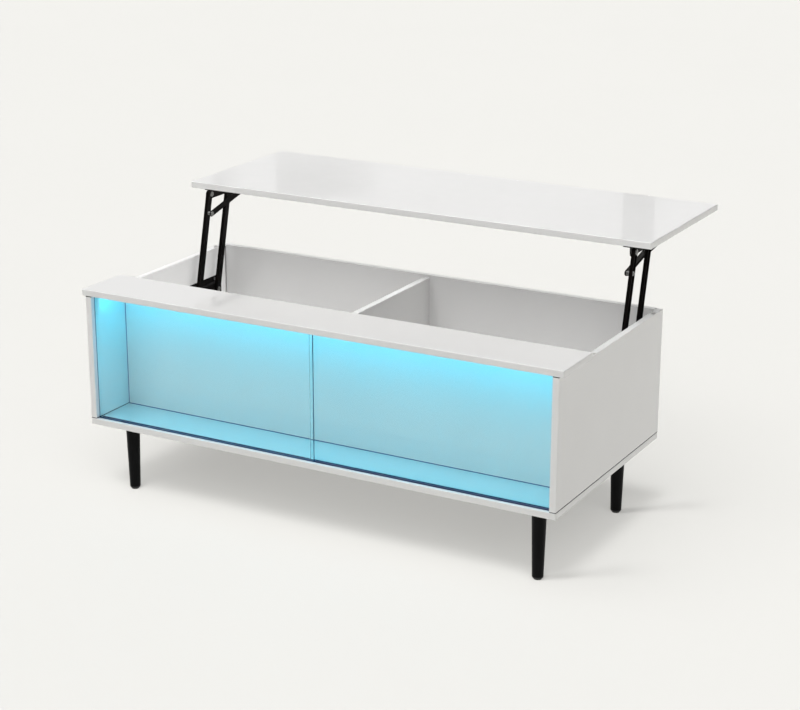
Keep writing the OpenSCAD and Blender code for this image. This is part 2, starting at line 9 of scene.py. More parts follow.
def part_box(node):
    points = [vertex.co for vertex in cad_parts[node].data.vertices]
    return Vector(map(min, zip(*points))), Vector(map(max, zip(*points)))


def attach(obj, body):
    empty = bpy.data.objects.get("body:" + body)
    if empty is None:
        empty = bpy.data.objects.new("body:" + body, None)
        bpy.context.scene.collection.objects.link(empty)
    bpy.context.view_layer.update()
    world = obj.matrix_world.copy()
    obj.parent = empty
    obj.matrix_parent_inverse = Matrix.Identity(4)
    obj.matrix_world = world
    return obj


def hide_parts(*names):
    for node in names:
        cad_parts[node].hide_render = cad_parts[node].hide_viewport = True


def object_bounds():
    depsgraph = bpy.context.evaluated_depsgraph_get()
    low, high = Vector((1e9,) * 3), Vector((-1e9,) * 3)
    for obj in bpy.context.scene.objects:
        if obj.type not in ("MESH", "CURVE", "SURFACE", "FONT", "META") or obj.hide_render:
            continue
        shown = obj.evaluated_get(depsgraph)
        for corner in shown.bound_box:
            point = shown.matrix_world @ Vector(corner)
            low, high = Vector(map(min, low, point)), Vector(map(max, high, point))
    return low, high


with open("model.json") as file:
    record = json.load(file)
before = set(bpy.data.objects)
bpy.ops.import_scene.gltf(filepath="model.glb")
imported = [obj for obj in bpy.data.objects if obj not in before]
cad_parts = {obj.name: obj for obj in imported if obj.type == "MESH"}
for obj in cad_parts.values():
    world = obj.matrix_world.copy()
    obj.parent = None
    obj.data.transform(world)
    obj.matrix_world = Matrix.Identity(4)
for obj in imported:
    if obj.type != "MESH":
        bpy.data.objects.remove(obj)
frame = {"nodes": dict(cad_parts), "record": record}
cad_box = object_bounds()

MM = 0.001
nodes = frame["nodes"]
scene = bpy.context.scene
scene.view_settings.view_transform = "Standard"


# ---- Camera ----

CAMERA_AT = Vector((2.0891, -3.7800, 1.7180))
CAMERA_AZIMUTH = math.radians(29.03)
CAMERA_ELEVATION = math.radians(18.045)
CAMERA_ROLL = math.radians(0.11)
CAMERA_LENS = 87.40
CAMERA_SENSOR = 36.0
CAMERA_FAR = 100.0


def make_camera():
    data = bpy.data.cameras.new("camera")
    data.sensor_width = CAMERA_SENSOR
    data.lens = CAMERA_LENS
    data.clip_end = CAMERA_FAR
    camera = bpy.data.objects.new("camera", data)
    flat = math.cos(CAMERA_ELEVATION)
    back = Vector((math.sin(CAMERA_AZIMUTH) * flat, -math.cos(CAMERA_AZIMUTH) * flat,
                   math.sin(CAMERA_ELEVATION)))
    turn = (-back).to_track_quat("-Z", "Y").to_matrix().to_4x4()
    camera.matrix_world = Matrix.Translation(CAMERA_AT) @ turn @ Matrix.Rotation(CAMERA_ROLL, 4, "Z")
    scene.collection.objects.link(camera)
    scene.camera = camera


make_camera()


# ---- Node helpers ----

class Nodes:
    """A node tree, with short calls for the nodes that the finishes and the sky share."""

    def __init__(self, tree, place):
        self.tree = tree
        self.place = tree.nodes.new("ShaderNodeTexCoord").outputs[place]

    def add(self, kind, **sockets):
        node = self.tree.nodes.new(kind)
        for socket, value in sockets.items():
            self.put(node.inputs[socket.replace("_", " ")], value)
        return node

    def put(self, socket, value):
        if isinstance(value, bpy.types.NodeSocket):
            self.tree.links.new(value, socket)
        else:
            socket.default_value = value

    def noise(self, scale, detail=2.0, stretch=None):
        """Noise whose features are about 1/scale metres across, drawn out by stretch along X, Y, Z."""
        place = self.place
        if stretch:
            mapping = self.add("ShaderNodeMapping", Vector=place)
            mapping.inputs["Scale"].default_value = stretch
            place = mapping.outputs["Vector"]
        return self.add("ShaderNodeTexNoise", Vector=place, Scale=scale, Detail=detail).outputs["Fac"]

    def span(self, value, start, end, low=0.0, high=1.0):
        """value from start..end to low..high, held at both ends."""
        node = self.add("ShaderNodeMapRange", Value=value)
        for socket, number in zip(("From Min", "From Max", "To Min", "To Max"),
                                  (start, end, low, high)):
            self.put(node.inputs[socket], number)
        return node.outputs["Result"]

    def calc(self, operation, first, second=0.0):
        node = self.tree.nodes.new("ShaderNodeMath")
        node.operation = operation
        self.put(node.inputs[0], first)
        self.put(node.inputs[1], second)
        return node.outputs[0]

    def blend(self, share, first, second):
        """The first colour at a share of 0, and the second at 1."""
        node = self.add("ShaderNodeMix")
        node.data_type = "RGBA"
        self.put(node.inputs["Factor"], share)
        self.put(node.inputs[6], first)
        self.put(node.inputs[7], second)
        return node.outputs[2]


class Finish(Nodes):
    """A material, starting from its shader's values that are the same all over."""

    def __init__(self, name, **shader):
        self.material = bpy.data.materials.new(name)
        self.material.use_nodes = True
        super().__init__(self.material.node_tree, "Object")
        self.shader = self.tree.nodes["Principled BSDF"]
        for socket, value in shader.items():
            self.shader.inputs[socket.replace("_", " ")].default_value = value

    def colour(self, share, first, second):
        """Base colour between two (red, green, blue) triples."""
        self.put(self.shader.inputs["Base Color"], self.blend(share, rgb(*first), rgb(*second)))

    def rough(self, value):
        self.put(self.shader.inputs["Roughness"], value)

    def glow(self, colour, strength):
        self.put(self.shader.inputs["Emission Color"], colour)
        self.shader.inputs["Emission Strength"].default_value = strength

    def bump(self, height, distance, strength=1.0, below=None):
        node = self.add("ShaderNodeBump", Height=height, Distance=distance, Strength=strength)
        if below is not None:
            self.put(node.inputs["Normal"], below)
        self.put(self.shader.inputs["Normal"], node.outputs["Normal"])
        return node.outputs["Normal"]


def rgb(r, g, b):
    return (r, g, b, 1.0)


def times(colour, factor):
    return [factor * c for c in colour]


# ---- Materials ----

# Each pair is the two ends of a finish's slight unevenness, as linear red, green and blue
LACQUER = ((0.832, 0.828, 0.822), (0.852, 0.849, 0.843))
ZINC = ((0.10, 0.10, 0.098), (0.26, 0.26, 0.255))
ALUMINIUM = ((0.66, 0.67, 0.68), (0.80, 0.81, 0.82))
BEECH = ((0.52, 0.33, 0.18), (0.68, 0.47, 0.28))
RUBBER = ((0.010, 0.010, 0.010), (0.028, 0.027, 0.026))
# Glass tint: partly the glass's own faint blue, partly painted light standing in for the niche's cyan
# glow
GLASS_TINT_AND_PAINTED_CYAN = ((0.78, 0.970, 1.0), (0.77, 0.962, 0.992))
GLASS_LAMP_TINT = (0.46, 0.82, 0.93)
GLASS_EDGES = ((0.010, 0.060, 0.20), (0.02, 0.11, 0.31))
OPAL = (0.80, 0.93, 0.97)
OPAL_GLOW = ((0.05, 0.70, 1.0), (0.16, 0.82, 1.0))
OPAL_STRENGTH = 3.0
LEG_BLACK = (0.0032, 0.0032, 0.0036)
STEEL_BLACK = (0.0040, 0.0028, 0.0024)
# Track plastic, darkened to a blue-grey as painted shade for its grooves under the cyan strip
TRACK_GREY_AND_SHADE = (0.080, 0.10, 0.20)
RUBBED = 1.6
EDGE_UNEVEN = 1.5


def white_lacquer():
    """High-gloss white: a clear coat over a faintly uneven white, with the orange peel of lacquer."""
    m = Finish("white_lacquer", Coat_Weight=1.0, Coat_Roughness=0.02, Specular_IOR_Level=0.2)
    tone = m.span(m.noise(3.5, 3.0), 0.35, 0.65)
    m.colour(tone, *LACQUER)
    m.rough(m.span(m.noise(26.0, 4.0), 0.3, 0.7, 0.10, 0.18))
    peel = m.bump(m.noise(420.0, 2.0), 0.00002, 0.12)
    m.bump(m.noise(14.0, 1.0), 0.0001, 0.05, below=peel)
    return m.material


def black_paint(name, base, rough, grain, spec):
    """Black paint or powder coat, with its fine pebbled grain and slightly rubbed patches."""
    m = Finish(name, Specular_IOR_Level=spec)
    rubbed = m.span(m.noise(35.0, 4.0), 0.45, 0.75)
    m.colour(rubbed, base, times(base, RUBBED))
    m.rough(m.span(m.noise(60.0, 3.0), 0.3, 0.7, rough - 0.06, rough + 0.08))
    m.bump(m.noise(grain, 3.0), 0.00006, 0.5)
    return m.material


def zinc():
    """Zinc-plated steel, with soft cloudy spangle and fine turning marks."""
    m = Finish("zinc_steel", Metallic=1.0)
    cloud = m.span(m.noise(220.0, 3.0), 0.3, 0.7)
    m.colour(cloud, *ZINC)
    m.rough(m.span(m.noise(900.0, 2.0), 0.3, 0.7, 0.22, 0.38))
    m.bump(m.noise(1500.0, 2.0), 0.00003, 0.3)
    return m.material


def brushed_aluminium():
    """Extruded aluminium, anodised, with fine lines along its length."""
    m = Finish("aluminium", Metallic=1.0)
    lines = m.noise(900.0, 3.0, stretch=(0.01, 1.0, 1.0))
    m.colour(m.span(lines, 0.3, 0.7), *ALUMINIUM)
    m.rough(m.span(lines, 0.2, 0.8, 0.28, 0.42))
    m.bump(lines, 0.00002, 0.4)
    return m.material


def plastic(name, base, rough, grain=700.0, spread=0.12):
    """Moulded plastic with a fine spark-eroded grain and faint flow marks."""
    m = Finish(name, IOR=1.46)
    flow = m.span(m.noise(18.0, 3.0, stretch=(0.3, 1.0, 1.0)), 0.3, 0.7)
    m.colour(flow, times(base, 1 - spread), base)
    m.rough(m.span(m.noise(80.0, 3.0), 0.3, 0.7, rough - 0.05, rough + 0.07))
    m.bump(m.noise(grain, 2.0), 0.00004, 0.4)
    return m.material


def beech():
    """Beech dowel with short dark flecks along the grain."""
    m = Finish("beech", IOR=1.45)
    grain = m.noise(300.0, 4.0, stretch=(0.15, 1.0, 0.15))
    m.colour(m.span(grain, 0.35, 0.65), *BEECH)
    m.rough(m.span(grain, 0.3, 0.7, 0.5, 0.68))
    m.bump(grain, 0.0001, 0.4)
    return m.material


def rubber():
    """Matt black rubber, with a little dust in its pores."""
    m = Finish("rubber", IOR=1.5)
    dust = m.span(m.noise(300.0, 4.0), 0.5, 0.75)
    m.colour(dust, *RUBBER)
    m.rough(m.span(dust, 0.0, 1.0, 0.62, 0.8))
    m.bump(m.noise(1200.0, 2.0), 0.00005, 0.5)
    return m.material


def clear_glass():
    """Float glass with barely seen smears, tinted cyan: partly its own faint blue, partly painted light
    that stands in for the cyan glow of the niche by taking red out of all seen through it. Lamps shine
    straight through it, with a stronger cyan tint.
    """
    m = Finish("clear_glass", IOR=1.45, Transmission_Weight=1.0)
    smear = m.span(m.noise(9.0, 5.0), 0.5, 0.8)
    m.colour(smear, *GLASS_TINT_AND_PAINTED_CYAN)
    m.rough(m.span(smear, 0.0, 1.0, 0.0, 0.015))
    lamps = m.add("ShaderNodeLightPath").outputs["Is Shadow Ray"]
    through = m.add("ShaderNodeBsdfTransparent", Color=rgb(*GLASS_LAMP_TINT))
    mix = m.add("ShaderNodeMixShader", Fac=lamps)
    m.tree.links.new(m.shader.outputs["BSDF"], mix.inputs[1])
    m.tree.links.new(through.outputs["BSDF"], mix.inputs[2])
    m.tree.links.new(mix.outputs["Shader"], m.tree.nodes["Material Output"].inputs["Surface"])
    return m.material


def glass_edge():
    """The ground and polished edge of the glass, where its own blue shows through its length."""
    m = Finish("glass_edge", IOR=1.45, Transmission_Weight=0.35)
    depth = m.span(m.noise(60.0, 3.0), 0.35, 0.65)
    m.colour(depth, *GLASS_EDGES)
    m.rough(m.span(m.noise(400.0, 2.0), 0.3, 0.7, 0.08, 0.2))
    return m.material


def light_diffuser():
    """Opal strip, lit from within: a little brighter over each chip."""
    m = Finish("opal_plastic", Base_Color=rgb(*OPAL), IOR=1.46)
    m.rough(m.span(m.noise(200.0, 2.0), 0.3, 0.7, 0.4, 0.5))
    chips = m.span(m.noise(30.0, 1.0, stretch=(1.0, 0.0, 0.0)), 0.3, 0.7)
    m.glow(m.blend(chips, *(rgb(*c) for c in OPAL_GLOW)), OPAL_STRENGTH)
    return m.material


def painted_joint_shade(name, base):
    """Painted shade: the dark inside a joint line, as the colour of a box set into the joint."""
    m = Finish(name, Specular_IOR_Level=0.1)
    m.colour(m.span(m.noise(500.0, 3.0), 0.35, 0.65), base, times(base, EDGE_UNEVEN))
    m.rough(m.span(m.noise(300.0, 2.0), 0.3, 0.7, 0.7, 0.9))
    return m.material


MATERIALS = {
    "white_board": white_lacquer(),
    "black_leg": black_paint("black_leg", LEG_BLACK, rough=0.38, grain=900.0, spec=0.08),
    "black_steel": black_paint("black_steel", STEEL_BLACK, rough=0.46, grain=2200.0, spec=0.05),
    "zinc_steel": zinc(),
    "rubber": rubber(),
    # The track's dark blue-grey is partly painted shade for its grooves
    "track_plastic": plastic("track_plastic", TRACK_GREY_AND_SHADE, rough=0.35),
    "clear_glass": clear_glass(),
    "aluminium": brushed_aluminium(),
    "led_board": plastic("led_board", (0.70, 0.72, 0.70), rough=0.45),
    "opal_plastic": light_diffuser(),
    "white_cable": plastic("white_cable", (0.72, 0.72, 0.70), rough=0.42, grain=300.0),
    "white_plastic": plastic("white_plastic", (0.74, 0.74, 0.72), rough=0.38),
    "black_plastic": plastic("black_plastic", (0.020, 0.020, 0.021), rough=0.42),
    "beech": beech(),
}
GLASS_EDGE = glass_edge()
# Painted shade for the joint lines: near black outside, navy in the niche lit by the cyan strip
JOINT_PAINTED_SHADE = painted_joint_shade("painted_joint_shade", (0.010, 0.010, 0.014))
NICHE_PAINTED_SHADE = painted_joint_shade("niche_painted_shade", (0.004, 0.045, 0.20))


# ---- Mesh helpers ----

SHARP = math.radians(32)
SAME_POINT = 0.001 * MM
ROD_SEGMENTS = 40


def finished(bm, name, materials, sharp=SHARP):
    """A piece from a bmesh: smooth where it curves, with flat faces kept flat."""
    mesh = bpy.data.meshes.new(name)
    bmesh.ops.recalc_face_normals(bm, faces=bm.faces)
    bm.to_mesh(mesh)
    bm.free()
    for material in materials:
        mesh.materials.append(material)
    mesh.shade_smooth()
    mesh.set_sharp_from_angle(angle=sharp)
    piece = bpy.data.objects.new(name, mesh)
    scene.collection.objects.link(piece)
    return piece


def flat_faces(piece):
    """Keeps flat faces flat where a smooth bevel meets them."""
    weighted = piece.modifiers.new("flat_faces", "WEIGHTED_NORMAL")
    weighted.weight = 100
    weighted.keep_sharp = True


def box_into(bm, a, b):
    """Adds a box between two corners."""
    a, b = Vector(a), Vector(b)
    size = b - a
    place = Matrix.Translation((a + b) / 2) @ Matrix.Diagonal((*size, 1.0))
    bmesh.ops.create_cube(bm, size=1.0, matrix=place)


def rod_into(bm, centre, radius, length, axis):
    """Adds a closed cylinder along axis, centred on a point."""
    turn = Vector((0, 0, 1)).rotation_difference(Vector(axis)).to_matrix().to_4x4()
    bmesh.ops.create_cone(bm, cap_ends=True, segments=ROD_SEGMENTS, radius1=radius, radius2=radius,
                          depth=length, matrix=Matrix.Translation(centre) @ turn)


def rounded_box(a, b, radius, segments=5):
    """A box between two corners with all its edges rounded."""
    bm = bmesh.new()
    box_into(bm, a, b)
    bmesh.ops.bevel(bm, geom=list(bm.edges), offset=radius, segments=segments, profile=0.5,
                    affect="EDGES", clamp_overlap=True)
    return bm


def carve(piece, cutter_bm):
    """Cuts the shapes in cutter_bm out of a piece."""
    mesh = bpy.data.meshes.new("cutter")
    cutter_bm.to_mesh(mesh)
    cutter_bm.free()
    cutter = bpy.data.objects.new("cutter", mesh)
    scene.collection.objects.link(cutter)
    cut = piece.modifiers.new("cut", "BOOLEAN")
    cut.operation = "DIFFERENCE"
    cut.solver = "EXACT"
    cut.object = cutter
    graph = bpy.context.evaluated_depsgraph_get()
    carved = bpy.data.meshes.new_from_object(piece.evaluated_get(graph))
    piece.modifiers.clear()
    piece.data = carved
    carved.set_sharp_from_angle(angle=SHARP)
    bpy.data.objects.remove(cutter)


def islands(node):
    """Lowest and highest corner of each separate solid in a CAD node."""
    bm = bmesh.new()
    bm.from_mesh(nodes[node].data)
    bmesh.ops.remove_doubles(bm, verts=bm.verts, dist=SAME_POINT)
    left, found = set(bm.verts), []
    while left:
        group, edge = set(), [left.pop()]
        while edge:
            vert = edge.pop()
            group.add(vert)
            for link in vert.link_edges:
                other = link.other_vert(vert)
                if other in left:
                    left.discard(other)
                    edge.append(other)
        points = [v.co for v in group]
        found.append((Vector([min(p[k] for p in points) for k in range(3)]),
                      Vector([max(p[k] for p in points) for k in range(3)])))
    bm.free()
    return found


def stand_in(piece, body, slot, *replaced):
    """A piece that stands for CAD nodes on a body."""
    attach(piece, body)
    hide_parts(*replaced)
    return piece


# ---- Boards ----

EDGE_OUTER = 2.0 * MM
EDGE_INNER = 0.8 * MM
EDGE_BOTTOM = 1.6 * MM
JOINT_LINE = 1.4 * MM
NICHE_JOINT = 1.7 * MM
# Boxes of painted shade in the joint lines: their inset from the board's faces, and their thickness
SHADE_BOX_INSET = 0.5 * MM
SHADE_BOX_H = 5.0 * MM
HEAD_SLACK = 0.05 * MM
COUNTERBORE_DEPTH = 2.6 * MM
TRACK_END_SLACK = 0.2 * MM
TRACK_CUT_PAST = 5.0 * MM
INLET_HOLE_R = 5.95 * MM
INLET_DRILL = 60.0 * MM
BACK_GROOVE_FROM_END = 2.0 * MM
BACK_GROOVE_WIDE = 3.5 * MM
BACK_GROOVE_DEEP = 5.0 * MM
BACK_GROOVE_STOP = 4.0 * MM
LEAD_NOTCH_W = 8.0 * MM
LEAD_NOTCH_H = 12.0 * MM


def board(name, node, body="case", radius=EDGE_OUTER, cutter=None, under=0.0, over=0.0, ends=0.0,
          shade_boxes=(), shade_paint=JOINT_PAINTED_SHADE):
    """A lacquered board in a CAD board's box, short by the joint lines on the sides named.

    The dark boxes in its joint lines, set in a little from the board's faces, are painted shade."""
    a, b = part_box(node)
    a, b = a + Vector((ends, 0, under)), b - Vector((ends, 0, over))
    piece = finished(rounded_box(a, b, radius), name, [MATERIALS["white_board"], shade_paint])
    if cutter is not None:
        carve(piece, cutter)
    bm = bmesh.new()
    bm.from_mesh(piece.data)
    board_faces = set(bm.faces)
    for low_corner, high_corner in shade_boxes:
        box_into(bm, low_corner, high_corner)
    for face in set(bm.faces) - board_faces:
        face.material_index = 1
    bm.to_mesh(piece.data)
    bm.free()
    flat_faces(piece)
    return stand_in(piece, body, "white_board", node)


def bottom_cutter():
    """Counterbores for the case screws, and the rebate that holds the lower glass track."""
    bm = bmesh.new()
    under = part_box("bottom_panel")[0].z
    for a, b in islands("case_screws"):
        middle = (a + b) / 2
        head = (b.x - a.x) / 2 + HEAD_SLACK
        rod_into(bm, (middle.x, middle.y, under), head, 2 * COUNTERBORE_DEPTH, (0, 0, 1))
    a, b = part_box("lower_glass_track")
    box_into(bm, (a.x - TRACK_END_SLACK, a.y, a.z), (b.x + TRACK_END_SLACK, b.y, b.z + TRACK_CUT_PAST))
    return bm


def strip_cutter():
    """The rebate that holds the upper glass track."""
    bm = bmesh.new()
    a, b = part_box("upper_glass_track")
    box_into(bm, (a.x - TRACK_END_SLACK, a.y, a.z - TRACK_CUT_PAST), (b.x + TRACK_END_SLACK, b.y, b.z))
    return bm


def back_cutter():
    """A stopped groove down each end of the inner face, and the hole for the power inlet."""
    bm = bmesh.new()
    a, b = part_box("back_panel")
    for start in (a.x + BACK_GROOVE_FROM_END, b.x - BACK_GROOVE_FROM_END - BACK_GROOVE_WIDE):
        box_into(bm, (start, a.y - MM, a.z + BACK_GROOVE_STOP),
                 (start + BACK_GROOVE_WIDE, a.y + BACK_GROOVE_DEEP, b.z - BACK_GROOVE_STOP))
    inlet_a, inlet_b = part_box("dc_inlet")
    rod_into(bm, (inlet_a + inlet_b) / 2, INLET_HOLE_R, INLET_DRILL, (0, 1, 0))
    return bm


def partition_cutter():
    """Notch at the top right corner that the light's lead passes through."""
    bm = bmesh.new()
    a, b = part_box("partition_panel")
    box_into(bm, (b.x - LEAD_NOTCH_W, a.y - MM, b.z - LEAD_NOTCH_H),
             (b.x + MM, b.y + MM, b.z + MM))
    return bm


def side_shade_boxes(node):
    """Boxes of painted shade under a side board, and over it where the front strip lies on it."""
    a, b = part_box(node)
    inset = Vector((SHADE_BOX_INSET, SHADE_BOX_INSET, 0))
    strip_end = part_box("front_strip")[1].y
    return [(a + inset, Vector((b.x, b.y, a.z + SHADE_BOX_H)) - inset),
            (Vector((a.x, a.y, b.z - SHADE_BOX_H)) + inset, Vector((b.x, strip_end, b.z)) - inset)]


def lower_shade_box(node):
    """Box of painted shade under a board that runs along the table."""
    a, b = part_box(node)
    inset = Vector((0, SHADE_BOX_INSET, 0))
    return [(a + inset, Vector((b.x, b.y, a.z + SHADE_BOX_H)) - inset)]


def partition_shade_boxes():
    """Boxes of painted shade under the partition and at its two ends, stopping below the lead's notch."""
    a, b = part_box("partition_panel")
    inset = Vector((0, SHADE_BOX_INSET, 0))
    return [*lower_shade_box("partition_panel"),
            (a + inset, Vector((a.x + SHADE_BOX_H, b.y, b.z)) - inset),
            (Vector((b.x - SHADE_BOX_H, a.y, a.z)) + inset, b - inset - Vector((0, 0, LEAD_NOTCH_H)))]


def side_board(name, node):
    return board(name, node, radius=EDGE_INNER, under=JOINT_LINE, over=JOINT_LINE,
                 shade_boxes=side_shade_boxes(node))


BOTTOM = board("bottom_board", "bottom_panel", radius=EDGE_BOTTOM, cutter=bottom_cutter())
LEFT_SIDE = side_board("left_side_board", "left_side_panel")
RIGHT_SIDE = side_board("right_side_board", "right_side_panel")
PARTITION = board("partition_board", "partition_panel", radius=EDGE_INNER, cutter=partition_cutter(),
                  under=NICHE_JOINT, ends=NICHE_JOINT, shade_boxes=partition_shade_boxes(), shade_paint=NICHE_PAINTED_SHADE)
STRIP = board("front_strip_board", "front_strip", cutter=strip_cutter())
BACK = board("back_board", "back_panel", radius=EDGE_INNER, cutter=back_cutter(), under=JOINT_LINE,
             shade_boxes=lower_shade_box("back_panel"))
DIVIDER = board("divider_board", "centre_divider", radius=EDGE_INNER)
TOP = board("lift_top_board", "lift_top", body="lift_top")


# ---- Legs ----

LEG_SEGMENTS = 72
LEG_TOP_ROUND = 1.0 * MM
LEG_TOP_MID = 0.3
TAPER_STEPS = 8
CAP_H = 5.0 * MM
CAP_ROUND_STEPS = 10
CAP_GROOVE = 0.35 * MM
CAP_GROOVE_STEP = 0.2 * MM
RING_MATCH = 0.1 * MM


def spin_profile(profile, centre, segments=LEG_SEGMENTS):
    """A lathe-turned closed solid round a vertical axis, from (radius, height) pairs."""
    bm = bmesh.new()
    rings = []
    for radius, height in profile:
        if radius == 0:
            rings.append([bm.verts.new((centre.x, centre.y, height))])
            continue
        rings.append([bm.verts.new((centre.x + radius * math.cos(2 * math.pi * k / segments),
                                    centre.y + radius * math.sin(2 * math.pi * k / segments),
                                    height)) for k in range(segments)])
    for lower, upper in zip(rings, rings[1:]):
        for k in range(segments):
            n = (k + 1) % segments
            corners = [lower[k % len(lower)], lower[n % len(lower)],
                       upper[n % len(upper)], upper[k % len(upper)]]
            bm.faces.new(list(dict.fromkeys(corners)))
    return bm


def leg_radius(node, height):
    """Radius of a CAD leg at the ring of vertices nearest to a height."""
    a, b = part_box(node)
    middle = (a + b) / 2
    points = [v.co for v in nodes[node].data.vertices]
    near = min(points, key=lambda p: abs(p.z - height)).z
    return max(math.hypot(p.x - middle.x, p.y - middle.y) for p in points
               if abs(p.z - near) < RING_MATCH)


def leg(node):
    """Turned, tapered leg with a black foot cap below a fine groove."""
    a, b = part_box(node)
    r_top = (b.x - a.x) / 2
    cap_top = a.z + CAP_H
    r_foot = leg_radius(node, cap_top)
    r_groove = r_foot - CAP_GROOVE
    arc = [(r_foot - CAP_H * (1 - math.sin(t)), cap_top - CAP_H * math.cos(t))
           for t in (math.pi / 2 * i / CAP_ROUND_STEPS for i in range(CAP_ROUND_STEPS))]
    taper_z = cap_top + 3 * CAP_GROOVE_STEP
    taper_h = b.z - LEG_TOP_ROUND - taper_z
    taper = [(r_foot + (r_top - r_foot) * t, taper_z + taper_h * t)
             for t in (i / TAPER_STEPS for i in range(TAPER_STEPS + 1))]
    profile = [(0, a.z), *arc, (r_foot, cap_top), (r_groove, cap_top + CAP_GROOVE_STEP),
               (r_groove, cap_top + 2 * CAP_GROOVE_STEP), *taper,
               (r_top - LEG_TOP_MID * LEG_TOP_ROUND, b.z - LEG_TOP_MID * LEG_TOP_ROUND),
               (r_top - LEG_TOP_ROUND, b.z), (0, b.z)]
    bm = spin_profile(profile, (a + b) / 2)
    for face in bm.faces:
        if face.calc_center_median().z < cap_top:
            face.material_index = 1
    piece = finished(bm, f"{node}_turned", [MATERIALS["black_leg"], MATERIALS["rubber"]])
    flat_faces(piece)
    return stand_in(piece, "case", "black_leg", node)


LEGS = {corner: leg(corner) for corner in ("front_left_leg", "front_right_leg", "rear_left_leg",
                                           "rear_right_leg")}


# ---- Glass doors ----

GLASS_ARRIS = 0.5 * MM
GLASS_SHARP = math.radians(20)
ON_FACE = 0.9
ON_PLAIN_SIDE = 0.5


def door(node, plain_side=0):
    """A pane with ground arrises. Its narrow edges show the blue of the glass, but for the plain side,
    which is -1 or 1 along X."""
    a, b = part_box(node)
    bm = rounded_box(a, b, GLASS_ARRIS, segments=2)
    for face in bm.faces:
        if abs(face.normal.y) < ON_FACE and face.normal.x * plain_side < ON_PLAIN_SIDE:
            face.material_index = 1
    piece = finished(bm, f"{node}_pane", [MATERIALS["clear_glass"], GLASS_EDGE],
                     sharp=GLASS_SHARP)
    return stand_in(piece, node, "clear_glass", node)


NICHE = [BOTTOM, LEFT_SIDE, RIGHT_SIDE, PARTITION, STRIP, door("left_glass_door"),
         door("right_glass_door", plain_side=-1), nodes["lower_glass_track"],
         nodes["upper_glass_track"], nodes["led_channel"]]


# ---- CAD pieces that stay, with their finishes and softened edges ----

METAL_EDGE = 0.35 * MM
HEAD_EDGE = 1.1 * MM
MOULDED_EDGE = 0.3 * MM
TRACK_EDGE = 0.2 * MM
CASING_EDGE = 0.5 * MM
WELD_GAP = 0.002 * MM
SOFTENED_ANGLE = math.radians(40)
SOFTENED = {
    "left_front_arm": METAL_EDGE, "right_front_arm": METAL_EDGE, "left_rear_arm": METAL_EDGE,
    "right_rear_arm": METAL_EDGE, "left_brace": METAL_EDGE, "right_brace": METAL_EDGE,
    "left_top_bracket": METAL_EDGE, "right_top_bracket": METAL_EDGE,
    "left_base_rail": METAL_EDGE, "right_base_rail": METAL_EDGE, "leg_plates": METAL_EDGE,
    "base_pivot_pins": HEAD_EDGE, "top_pivot_pins": HEAD_EDGE, "left_brace_rivet": HEAD_EDGE,
    "right_brace_rivet": HEAD_EDGE, "left_slide_pin": HEAD_EDGE, "right_slide_pin": HEAD_EDGE,
    "led_controller": CASING_EDGE, "dc_inlet": MOULDED_EDGE, "foot_glides": MOULDED_EDGE,
    "rim_bumpers": MOULDED_EDGE, "led_channel": TRACK_EDGE, "lower_glass_track": TRACK_EDGE,
    "upper_glass_track": TRACK_EDGE,
}
MECHANISM = [node for node in SOFTENED
             if node.split("_")[-1] in ("arm", "brace", "bracket", "rail", "pins", "pin", "rivet")]


def soften(node, width):
    """Rounds a CAD node's sharp edges with modifiers, leaving its mesh alone."""
    piece = nodes[node]
    weld = piece.modifiers.new("weld", "WELD")
    weld.merge_threshold = WELD_GAP
    bevel = piece.modifiers.new("edge", "BEVEL")
    bevel.width = width
    bevel.segments = 4 if width == HEAD_EDGE else 2
    bevel.limit_method = "ANGLE"
    bevel.angle_limit = SOFTENED_ANGLE
    bevel.use_clamp_overlap = True
    flat_faces(piece)


for row in frame["record"]["subparts"]:
    mesh = nodes[row["node"]].data
    mesh.materials.clear()
    mesh.materials.append(MATERIALS[row["material_slot"]])
for node, width in SOFTENED.items():
    soften(node, width)
# The lacquer shows no mirror image of the mechanism
for node in MECHANISM:
    nodes[node].visible_glossy = False


# ---- Light, sky and floor ----

# The light strip in the niche, and two small lamps near its ends
GLOW_COLOUR = (0.002, 0.68, 1.0)
GLOW_WATTS = 1.12
GLOW_BELOW = 0.6 * MM
GLOW_TOWARDS = (0, 1.7, -1)
GLOW_END_WATTS = 0.22
GLOW_END_IN = 0.2
GLOW_END_SIZE = 20.0 * MM
GLOW_END_TILT = (0.2, -0.7)

# Lamps with their strength, where they shine from and towards, and their spread in degrees
NICHE_DAY = (0.68, (-0.2, -1.0, 1.25), (0, 0, 0.4), 44)
EDGE_FILL = (0.52, (-0.5, -1.0, 0.75), (0, 0, 0.6), 30)
INSIDE_FILL = (0.75, (0.5, -1.0, 1.6), (0, 0, 0.4), 70)
WALL_FILL = (1.7, (1.0, 0.3, 1.0), (0, 0, 0.4), 60)

# Lamps aimed at the table's middle, with their strength, offset from it, and spread in degrees
OVERHEAD = (2.08, (-0.6, -0.5, 2.0), 50)
STREAKS = (4.2, (-1.05, -0.94, 1.05), 17)
FLOOR_FAN = ((0.2, (-0.8, -0.50, 1.0), 36), (3.6, (0.1, -0.55, 1.0), 18), (4.3, (0.2, -1.1, 1.0), 50),
             (2.3, (0.8, -0.60, 1.0), 36))

# Brightness of the sky in front of, behind and above the table, and the share left at the right
SKY_FRONT = 0.115
SKY_BACK = 1.0
SKY_TOP = 0.40
SKY_RIGHT_SHARE = 0.04
SKY_BEHIND_SPAN = (-0.4, 0.6)
SKY_RIGHT_SPAN = (-0.3, 0.4)
SKY_COLOUR = (1.0, 0.995, 0.985)

